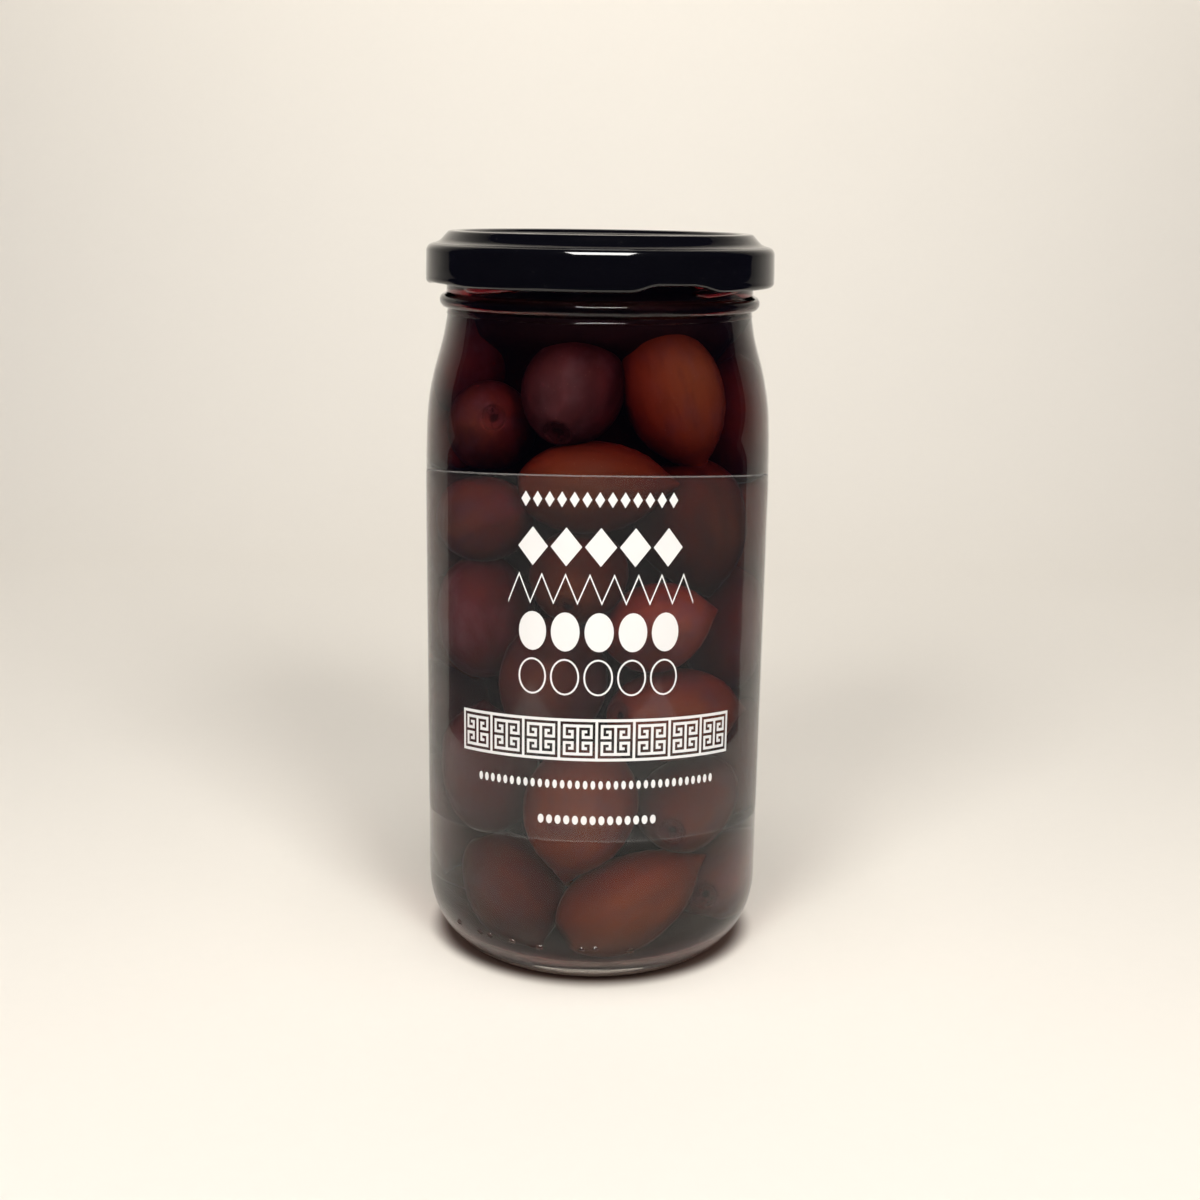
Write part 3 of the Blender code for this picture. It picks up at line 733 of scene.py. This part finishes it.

# %% [markdown]
# The skin goes from orange brown, less ripe, to purple brown. It is cloudy in streaks from scar to
# tip, with a bluish bloom on the ripe ones, which is also a painted soft sheen, and darker
# blotches on all. It is dark at the scar, where a ring and a few cracks show, and it has pale
# pin-prick specks. A soft bump gives the slack wrinkles of an olive that has lain in brine. In
# brine a wet skin hardly shines, so its index is only a little over one.

# %% Olive skin
def olive_skin():
    paint = Paint("olive skin")
    own = paint.node("ShaderNodeAttribute", {"attribute_name": "own_place"}, output="Vector")
    tone = paint.node("ShaderNodeAttribute", {"attribute_name": "tone"}, output="Vector")
    ripe, pale, seed = paint.split(tone)
    seeds = paint.node("ShaderNodeCombineXYZ", None, {0: seed, 1: seed * 1.7, 2: seed * 0.6})
    where = own + seeds
    streaks = paint.noise(own * (1.8, 1.8, 0.8) + seeds, 1.0, 2.0, 0.5, 0.3)
    clouds = paint.noise(where, 1.6, 3.0, 0.55)
    fine = paint.noise(where, 14.0, 3.0, 0.6)
    x, y, up = paint.split(own)
    flat = (x * x + y * y) ** 0.5
    scar_end = paint.ramp(up, -0.55, -0.80)
    # Orange brown to purple brown, pushed about by the clouds, and lighter or darker in streaks
    hue = paint.ramp(ripe + (clouds - 0.5) * 0.9, 0.15, 0.85)
    colour = paint.mix(hue, (0.190, 0.050, 0.019, 1), (0.104, 0.029, 0.032, 1))
    light = 0.40 + pale * 0.65 + (streaks - 0.5) * 0.32
    tint = paint.scale(colour, light)
    tint = paint.mix(paint.spots(where, 9.0, 0.10, 0.04) * 0.25, tint, (0.26, 0.15, 0.10, 1))
    # A bluish bloom on the ripe ones, partly a painted sheen, and darker blotches on all
    bloom_and_sheen = paint.ramp(clouds, 0.46, 0.72) * ripe * 0.30
    tint = paint.mix(bloom_and_sheen, tint, paint.scale((0.20, 0.135, 0.165), light))
    blotch = paint.ramp(paint.noise(where * (1.0, 1.0, 0.7), 2.6, 4.0, 0.6), 0.56, 0.74)
    tint = paint.mix(blotch * 0.26, tint, (0.040, 0.012, 0.009, 1))
    # Scar: a dark pit with a ring and cracks that run out of it like a star
    wobble = paint.noise(where, 7.0, 2.0)
    pit = paint.ramp(flat + wobble * 0.08, 0.17, 0.09) * scar_end
    turn = paint.node("ShaderNodeMath", {"operation": "ARCTAN2"}, {0: y, 1: x})
    star = paint.node("ShaderNodeMath", {"operation": "SINE"}, {0: turn * 2.0 + wobble * 15.0})
    cracks = paint.ramp(star, 0.86, 0.97) * paint.ramp(flat, 0.42, 0.16) * scar_end
    uneven = flat + wobble * 0.1
    ring = paint.ramp(uneven, 0.36, 0.33) * paint.ramp(uneven, 0.28, 0.31) * scar_end
    dark = paint.node("ShaderNodeMath", {"operation": "MAXIMUM"}, {0: pit * 0.9, 1: cracks * 0.85})
    tint = paint.mix(ring * 0.30, tint, (0.035, 0.016, 0.012, 1))
    tint = paint.mix(dark, tint, (0.012, 0.006, 0.005, 1))
    wrinkles = paint.noise(own * (2.2, 2.2, 1.0) + seeds, 1.3, 1.0, 0.4, 0.5)
    height = wrinkles * 0.5 + fine * 0.012 - dark * 0.6 - ring * 0.25
    bump = paint.bump(height, 0.0006, 0.8)
    rough = 0.42 + (fine - 0.5) * 0.25 + dark * 0.3
    return paint.show(paint.shader(Base_Color=tint, Roughness=rough, IOR=1.06, Normal=bump))


give(olives, "olives", "olives", olive_skin())

# %% [markdown]
# What shows between the olives is the dark middle of the heap. A plain turned core stands there,
# lumpy like more olives further in. Its near-black colour is painted shade for the deep, shaded gaps
# between the olives. It widens under the lid, where the neck is full of olives that show only as a
# brown blur in the lid's shade; its top is painted paler, as painted light for that blur.

# %% Dark core of the heap
CORE = ((7.0, 13.4), (12.0, 18.0), (14.8, 28.0), (15.5, 60.0), (15.5, 106.0), (17.0, 116.0), (21.0, 122.0),
        (22.0, 127.0), (17.0, 130.5))
core = turned("heap_core", [(0.0, 13.0)] + gentle(CORE, 4) + [(0.0, 131.0)], 48)
finish_shape(core, 60.0)
lumps = bpy.data.textures.new("lumps", "CLOUDS")
lumps.noise_scale = 0.014
add_modifier(core, "SUBSURF", levels=1, render_levels=1)
add_modifier(core, "DISPLACE", texture=lumps, strength=0.005, mid_level=0.5, texture_coords="LOCAL")
finish_shape(core, 60.0)


def core_shade_material():
    paint = Paint("heap core painted shade")
    place = paint.place()
    clouds = paint.noise(place, 90.0, 3.0)
    # Near black: painted shade for the gaps deep in the heap
    colour = paint.mix(clouds, (0.005, 0.002, 0.002, 1), (0.016, 0.005, 0.005, 1))
    height = paint.height()
    # Paler towards the top under the lid: painted light for the olives there, which lie in the lid's shade
    colour = paint.mix(paint.ramp(height, 0.119, 0.125), colour, (0.020, 0.012, 0.013, 1))
    colour = paint.mix(paint.ramp(height, 0.126, 0.129), colour, (0.110, 0.064, 0.061, 1))
    return paint.show(paint.shader(Base_Color=colour, Roughness=0.7 + (clouds - 0.5) * 0.2,
                                   Specular_IOR_Level=0.1, Normal=paint.bump(clouds, 0.0012)))


give(core, "olives", "olives", core_shade_material())

# %% [markdown]
# The lid is pressed from thin tinplate: a panel with a raised rim, a rounded shoulder, a straight
# skirt, and a curl rolled inwards at the bottom edge. The curl is lifted and pushed in at four
# places to make the lugs that slide under the threads. The one on the left in front is lifted
# less, as the photograph shows.

# %% Lid
PANEL, LID_TOP = 140.45, 141.4
lid_out = [(0.0, PANEL), (12.0, PANEL), (22.0, PANEL), (25.6, PANEL)]
lid_out += gentle(((25.6, PANEL), (26.4, 140.75), (27.0, 141.25), (27.6, LID_TOP)), 4)[1:]
lid_out += gentle(((28.3, LID_TOP), (28.85, 141.26), (29.3, 140.82), (29.9, 140.15), (30.5, 139.58),
                   (31.2, 139.22), (31.9, 139.02)), 4)
lid_out += bow((31.75, 137.55), 1.32, 83.0, 0.0, 12, 1.46)
lid_out += [(33.1, 136.0), (33.14, 134.6), (33.17, 133.2)]
lid_out += bow((32.35, 132.5), 0.82, 20.0, -200.0, 16, 0.88)
lid_in = [(31.75, 133.3), (32.35, 133.9), (32.45, 135.5), (32.4, 137.3), (32.1, 138.1), (31.5, 138.6),
          (30.9, 138.85), (30.1, 139.3), (29.2, 139.8), (26.6, 139.95), (26.0, 139.8), (12.0, 139.8),
          (0.0, 139.8)]
lid = turned("lid_black", lid_out + lid_in, 180)
LUG_AZIMUTH, LUG_LIFTS, LUG_PUSH = 24.4, (1.1, 1.1, 1.1, 0.25), 0.9
for quarter, lift in enumerate(LUG_LIFTS):
    turn = math.radians(LUG_AZIMUTH + 90.0 * quarter)
    side = (math.cos(turn), math.sin(turn))
    front = (math.sin(turn), -math.cos(turn))
    soft = dict(use_proportional_edit=True, proportional_edit_falloff="SMOOTH")
    pick(lid, lambda x, y, z: z < 132.1 and x * front[0] + y * front[1] > 0
         and abs(x * side[0] + y * side[1]) < 4.2)
    bpy.ops.transform.translate(value=(0.0, 0.0, lift * MM), proportional_size=5.0 * MM, **soft)
    pick(lid, lambda x, y, z: z < 134.4 and math.hypot(x, y) < 32.0 and x * front[0] + y * front[1] > 0
         and abs(x * side[0] + y * side[1]) < 3.6)
    bpy.ops.transform.translate(value=(-front[0] * LUG_PUSH * MM, -front[1] * LUG_PUSH * MM, 0.0),
                                proportional_size=1.0 * MM, **soft)
finish_shape(lid, 50.0)


def lacquer():
    paint = Paint("black lacquer")
    place = paint.place()
    peel = paint.noise(place, 900.0, 2.0)
    smears = paint.noise(place * (1.0, 1.0, 3.0), 60.0, 4.0, 0.65)
    colour = paint.mix(smears, (0.0010, 0.0010, 0.0018, 1), (0.0026, 0.0026, 0.0036, 1))
    # A few specks of dust
    colour = paint.mix(paint.spots(place, 420.0, 0.10, 0.05) * 0.10, colour, (0.10, 0.10, 0.10, 1))
    bump = paint.bump(peel, 0.000004, 0.6, paint.bump(smears, 0.00002, 0.5))
    return paint.show(paint.shader(Base_Color=colour, Roughness=0.045 + smears * 0.05, IOR=1.5, Normal=bump))


give(lid, "lid", "lid", lacquer())

# %% [markdown]
# The label is a strip of thin clear film, wrapped round the front of the jar. It is drawn flat,
# with rounded corners and a narrow edge strip, cut into narrow bands, and then wrapped. The edge
# strip gets a lighter, less clear finish: a painted highlight along the film's edge. Its edges run
# a little lower towards the sides, because the real film is not quite straight. The same wrapping
# is used for the print.

# %% Wrapping film and print round the jar
LABEL_TOP, LABEL_BOTTOM, LABEL_HALF_ANGLE, LABEL_ARCH = 100.1, 31.1, 80.0, 4.4
FILM_RADIUS, PRINT_RADIUS, FILM_THICK, INK_THICK = 33.56, 33.66, 0.06, 0.03
CORNER, EDGE_HIGHLIGHT_STRIP, BAND = 3.0, 0.28, 0.8
REACH = math.radians(1.0) * BODY_RADIUS  # how far one degree of azimuth reaches on the flat drawing


def wrap(piece, radius, thick):
    """Bends a flat piece, drawn in millimetres of x and z, round the jar and gives it its thickness."""
    mesh = piece.data
    for point in mesh.vertices:
        turn = point.co.x / MM / BODY_RADIUS
        arch = LABEL_ARCH * (1 - math.cos(turn))
        point.co = (radius * math.sin(turn) * MM, -radius * math.cos(turn) * MM, point.co.z - arch * MM)
    add_modifier(piece, "SOLIDIFY", thickness=thick * MM, offset=1.0)
    only(piece)
    bpy.ops.object.mode_set(mode="EDIT")
    tidy_mesh()
    return finish_shape(piece, 30.0)


def stand_up(piece, wide, tall, x, z):
    """Brings a flat shape of size one to its size, stands it upright and puts it where it belongs."""
    bpy.ops.object.mode_set(mode="OBJECT")
    piece.scale = (wide * MM, tall * MM, 1)
    piece.rotation_euler = (math.pi / 2, 0, 0)
    piece.location = (x * MM, 0, z * MM)
    bpy.ops.object.transform_apply(location=True, rotation=True, scale=True)
    bpy.ops.object.mode_set(mode="EDIT")


def slices(piece, width, first, last):
    """Cuts a flat piece into bands, so that it can bend."""
    count = max(2, int(round((last - first) / width)))
    for k in range(1, count):
        at = first + (last - first) * k / count
        bpy.ops.mesh.select_all(action="SELECT")
        bpy.ops.mesh.bisect(plane_co=(at * MM, 0, 0), plane_no=(1, 0, 0))


half = LABEL_HALF_ANGLE * REACH
film = start(bpy.ops.mesh.primitive_plane_add, "film_label", size=1.0)
stand_up(film, 2 * half, LABEL_TOP - LABEL_BOTTOM, 0.0, (LABEL_TOP + LABEL_BOTTOM) / 2)
bpy.ops.mesh.select_all(action="SELECT")
bpy.ops.mesh.bevel(offset=CORNER * MM, segments=6, affect="VERTICES")
bpy.ops.mesh.select_all(action="SELECT")
bpy.ops.mesh.inset(thickness=EDGE_HIGHLIGHT_STRIP * MM, depth=0.0)
slices(film, 1.4, -half, half)
bpy.ops.object.mode_set(mode="OBJECT")
for face in film.data.polygons:
    x = face.center.x / MM
    z = face.center.z / MM
    to_end = min(z - LABEL_BOTTOM, LABEL_TOP - z)
    in_highlight_strip = min(half - abs(x), to_end) < 0.25
    in_corner = abs(x) > half - CORNER and to_end < CORNER and face.area < 3e-7
    face.material_index = int(in_highlight_strip or in_corner)
wrap(film, FILM_RADIUS, FILM_THICK)


def film_material(name, haze, haze_low, grey):
    """Nearly clear film: its haze at the top and low down, and how light that haze is."""
    paint = Paint(name)
    place = paint.place()
    haze = paint.ramp(paint.height(), 0.045, 0.090, haze_low, haze)
    clouds = paint.noise(place, 70.0, 3.0, 0.6)
    fine = paint.noise(place * (1.0, 1.0, 4.0), 500.0, 2.0)
    colour = paint.mix(clouds, (grey * 0.92, grey * 0.88, grey * 0.86, 1),
                       (grey, grey * 0.97, grey * 0.95, 1))
    return paint.show(paint.shader(Base_Color=colour, Roughness=0.30 + (clouds - 0.5) * 0.12, IOR=1.18,
                                   Alpha=haze + (clouds - 0.5) * 0.012, Normal=paint.bump(fine, 0.000004)))


# The second finish, on the edge strip, is lighter and less clear: a painted highlight
give(film, "label", "label", film_material("clear film", 0.062, 0.085, 0.15),
     film_material("film edge painted highlight", 0.26, 0.10, 0.40))

# %% [markdown]
# The print is white ink. On a pack without words, plain generic marks stand where the lines of
# print are: rows of dots, lozenges and zigzags, as on old pottery. The band of Greek key is a
# traditional pattern, and is drawn cell by cell: a grid is added, and the bare cells, marked d
# below, are deleted.

# %% Print: the Greek key band
def white_ink():
    paint = Paint("white ink")
    place = paint.place()
    grain = paint.noise(place, 1500.0, 2.0)
    cloud = paint.noise(place, 60.0, 2.0)
    colour = paint.mix(cloud, (0.80, 0.79, 0.78, 1), (0.88, 0.87, 0.86, 1))
    return paint.show(paint.shader(Base_Color=colour, Roughness=0.45 + (grain - 0.5) * 0.2,
                                   Specular_IOR_Level=0.3, Normal=paint.bump(grain, 0.000006)))


ink = white_ink()
HALF_TILE = ("ddddddddddddd", "dwwwwwwwwwwwd", "dwddddwddddwd", "dwdwwdwdwwdwd", "dwddwdwdwddwd",
             "dwwwwdwdwwwwd", "ddddddwdddddd")
TILE = HALF_TILE + HALF_TILE[:-1][::-1]
TILES = 8
CELL_WIDE, CELL_TALL = 0.494, 0.54
KEY_MIDDLE, KEY_TURN = 51.05, 1.0


def key_band():
    """Eight key tiles with white dividers between them and white bars above and below."""
    pitch = len(TILE) + 1
    across = TILES * pitch + 1
    up = pitch + 1
    band = start(bpy.ops.mesh.primitive_grid_add, "key_band", x_subdivisions=across, y_subdivisions=up,
                 size=1.0)
    bpy.ops.mesh.select_mode(type="FACE")
    mesh = bmesh.from_edit_mesh(band.data)
    for face in mesh.faces:
        middle = face.calc_center_median()
        column = int((middle.x + 0.5) * across)
        row = int((middle.y + 0.5) * up)
        inside_tile = 0 < row < up - 1 and column % pitch != 0
        face.select_set(inside_tile and TILE[row - 1][column % pitch - 1] == "d")
    bmesh.update_edit_mesh(band.data)
    bpy.ops.mesh.delete(type="FACE")
    stand_up(band, across * CELL_WIDE, up * CELL_TALL, KEY_TURN * REACH, KEY_MIDDLE)
    bpy.ops.object.mode_set(mode="OBJECT")
    return wrap(band, PRINT_RADIUS, INK_THICK)


give(key_band(), None, "label", ink)

# %% [markdown]
# Each other row of print is one mark repeated. A mark starts as a small disc with few corners,
# which makes it a lozenge, a leaf or a dot; a thin mark has its middle taken out by an inset.

# %% Print: rows of plain marks
def row_of_marks(name, first, last, low, high, count, corners, fill=0.8, stroke=0.0):
    """One row of equal marks between two azimuths and two heights; stroke makes them outlines."""
    step = (last - first) / count
    tall = high - low
    marks = []
    for k in range(count):
        azimuth = first + (k + 0.5) * step
        mark = start(bpy.ops.mesh.primitive_circle_add, name, vertices=corners, radius=0.5, fill_type="NGON")
        stand_up(mark, step * REACH * fill, tall, azimuth * REACH, (low + high) / 2)
        if stroke:
            bpy.ops.mesh.select_all(action="SELECT")
            bpy.ops.mesh.inset(thickness=stroke * MM, depth=0.0)
            bpy.ops.mesh.delete(type="FACE")
        bpy.ops.object.mode_set(mode="OBJECT")
        marks.append(mark)
    row = joined(marks, name)
    bpy.ops.object.mode_set(mode="EDIT")
    slices(row, BAND, first * REACH, last * REACH)
    bpy.ops.object.mode_set(mode="OBJECT")
    wrap(row, PRINT_RADIUS, INK_THICK)
    give(row, None, "label", ink)


row_of_marks("small_diamonds", -24.0, 26.0, 94.3, 97.15, 13, 4, 0.78)
row_of_marks("bold_lozenges", -25.0, 28.0, 83.6, 90.7, 5, 4, 0.92)
row_of_marks("bold_ovals", -25.0, 27.6, 67.8, 75.1, 5, 24, 0.86)
row_of_marks("thin_ovals", -25.0, 27.4, 59.5, 66.4, 5, 24, 0.88, 0.32)
row_of_marks("small_dots", -40.0, 42.5, 41.5, 43.2, 34, 10, 0.62)
row_of_marks("short_dots", -18.0, 21.0, 34.5, 36.3, 14, 10, 0.72)

# %% [markdown]
# The zigzag is one thin strip cut into sixteen lengths. Every other joint between them is lifted,
# which gives eight peaks.

# %% Print: a thin zigzag line
def zigzag():
    """A thin line with eight peaks: a strip with every other joint lifted."""
    peaks, first, last, low, high, thin = 8, -28.0, 32.0, 76.8, 82.0, 0.36
    line = start(bpy.ops.mesh.primitive_grid_add, "zigzag_line", x_subdivisions=peaks * 2, y_subdivisions=1,
                 size=1.0)
    stand_up(line, (last - first) * REACH, thin * 1.7, (first + last) / 2 * REACH, low)
    step = (last - first) * REACH / (peaks * 2)
    pick(line, lambda x, y, z: int(round((x - first * REACH) / step)) % 2 == 1)
    bpy.ops.transform.translate(value=(0, 0, (high - low) * MM))
    slices(line, BAND, first * REACH, last * REACH)
    bpy.ops.object.mode_set(mode="OBJECT")
    wrap(line, PRINT_RADIUS, INK_THICK)
    give(line, None, "label", ink)


zigzag()

# %% [markdown]
# The jar stands on a sheet of pale paper that curves up behind it. The paper is turned up far
# enough back that its bend is only a soft change of tone. The sheet is narrow beside the jar and
# wide behind it. The table round it is as pale, but is left out of reflections, because the
# glass shows that the room in front of the jar and beside it is dark. The glass lets lamp light
# through, so it throws hardly any shade close to its foot. The paper has that soft brown shade
# in its own colour instead.

# %% Paper sweep
def paper(name, tone):
    paint = Paint(name)
    place = paint.place()
    grain = paint.noise(place, 300.0, 3.0)
    colour = paint.mix(grain, tuple(c * 0.985 for c in tone) + (1,), tone + (1,))
    # Distance from the middle of the foot's shade, which is a little wider than deep
    spread = place * (0.94, 1.0, 0.0) - (0.0, 0.001, 0.0)
    reach = paint.node("ShaderNodeVectorMath", {"operation": "LENGTH"}, {0: spread}, 1)
    colour = paint.mix(paint.ramp(reach, 0.0276, 0.0324), (0.100, 0.068, 0.056, 1), colour)
    return paint.show(paint.shader(Base_Color=colour, Roughness=0.85, Specular_IOR_Level=0.2,
                                   Normal=paint.bump(grain, 0.00002)))


white_paper = paper("pale paper", (0.86, 0.825, 0.755))
FLOOR_FRONT, FLOOR_BACK, BEND, WALL_TOP, SWEEP_HALF = -0.185, 0.35, 0.25, 1.2, 1.25
# Half width of the sheet at each distance behind the jar's middle
WIDTHS = ((FLOOR_FRONT, 0.16), (0.05, 0.16), (FLOOR_BACK, 0.75))
sweep = start(bpy.ops.mesh.primitive_plane_add, "paper_sweep", size=0.001)
bpy.ops.mesh.merge(type="CENTER")
bpy.ops.transform.translate(value=(-SWEEP_HALF, FLOOR_FRONT, 0.0))
route = [(y, 0.0) for y, half_width in WIDTHS]
route += bow((FLOOR_BACK, BEND), BEND, -84.0, 0.0, 14)
route += [(FLOOR_BACK + BEND, WALL_TOP)]
for (y0, z0), (y1, z1) in zip(route, route[1:]):
    bpy.ops.mesh.extrude_region_move(TRANSFORM_OT_translate={"value": (0.0, y1 - y0, z1 - z0)})
bpy.ops.mesh.select_all(action="SELECT")
bpy.ops.mesh.extrude_region_move(TRANSFORM_OT_translate={"value": (2 * SWEEP_HALF, 0.0, 0.0)})
for distance, half_width in WIDTHS:
    pick(sweep, lambda x, y, z: abs(y * MM - distance) < 0.001 and abs(z) < 1.0)
    bpy.ops.transform.resize(value=(half_width / SWEEP_HALF, 1.0, 1.0), center_override=(0.0, 0.0, 0.0))
finish_shape(sweep)
sweep.data.materials.append(white_paper)
table = start(bpy.ops.mesh.primitive_plane_add, "paper_table", size=1.0)
bpy.ops.transform.resize(value=(2 * SWEEP_HALF, 2.2, 1.0), center_override=(0.0, 0.0, 0.0))
bpy.ops.transform.translate(value=(0.0, -0.7, -0.0002))
finish_shape(table)
table.data.materials.append(white_paper)
table.visible_glossy = False
table.visible_transmission = False

# %% [markdown]
# Soft light: a panel overhead, and one on each side in front, which throw the soft shadow behind
# the jar. These don't show in reflections, so the edges of the glass reflect only the pale paper
# and the dim room. A fourth panel lights the paper behind the jar, and a fifth shows as the bright
# line on the lid's shoulder.

# %% Lights
def panel(name, place, aim, size, watts, tone, mirrored=False):
    """One rectangular lamp; a mirrored one shows in reflections, the others don't."""
    light = bpy.data.lights.new(name, "AREA")
    light.shape = "RECTANGLE"
    light.size, light.size_y = size
    light.energy = watts
    light.color = tone
    lamp = bpy.data.objects.new(name, light)
    bpy.context.collection.objects.link(lamp)
    away = np.array(place) - np.array(aim)
    away /= np.linalg.norm(away)
    upright = (0, 1, 0) if abs(away[2]) > 0.9 else (0, 0, 1)
    side = np.cross(upright, away)
    side /= np.linalg.norm(side)
    lamp.matrix_world = Matrix((tuple(side), tuple(np.cross(away, side)), tuple(away))).transposed().to_4x4()
    lamp.location = place
    lamp.visible_glossy = mirrored
    lamp.visible_diffuse = not mirrored
    lamp.visible_transmission = False
    lamp.visible_camera = False


WARM, NEUTRAL = (1.0, 0.97, 0.92), (1.0, 0.975, 0.94)
panel("overhead", (0.0, -0.12, 0.72), (0.0, -0.12, 0.0), (0.30, 0.30), 2.3, WARM)
panel("front_left", (-0.33, -0.62, 0.58), (0.0, 0.0, 0.05), (0.25, 0.30), 3.4, NEUTRAL)
panel("front_right", (0.33, -0.62, 0.58), (0.0, 0.0, 0.05), (0.25, 0.30), 4.0, NEUTRAL)
panel("backdrop_light", (0.0, 0.24, 0.50), (0.0, 1.24, 0.25), (0.6, 0.2), 1.05, (1.0, 0.97, 0.93))
panel("lid_glint", (0.005, -0.37, 0.70), (0.0, -0.033, 0.14), (0.38, 0.40), 12.0, (1.0, 0.985, 0.95), True)

# The camera sees a pale room, and the glass and the lid mirror a dim one
room = Paint("room", bpy.data.worlds)
bpy.context.scene.world = room.material
seen = room.node("ShaderNodeLightPath", output="Is Camera Ray")
dim = room.node("ShaderNodeBackground", None, {"Color": (0.020, 0.019, 0.040, 1)})
pale = room.node("ShaderNodeBackground", None, {"Color": (0.86, 0.83, 0.76, 1)})
room.node("ShaderNodeOutputWorld", None, {"Surface": room.mix_shaders(seen, dim, pale)})
print("lights and room set")
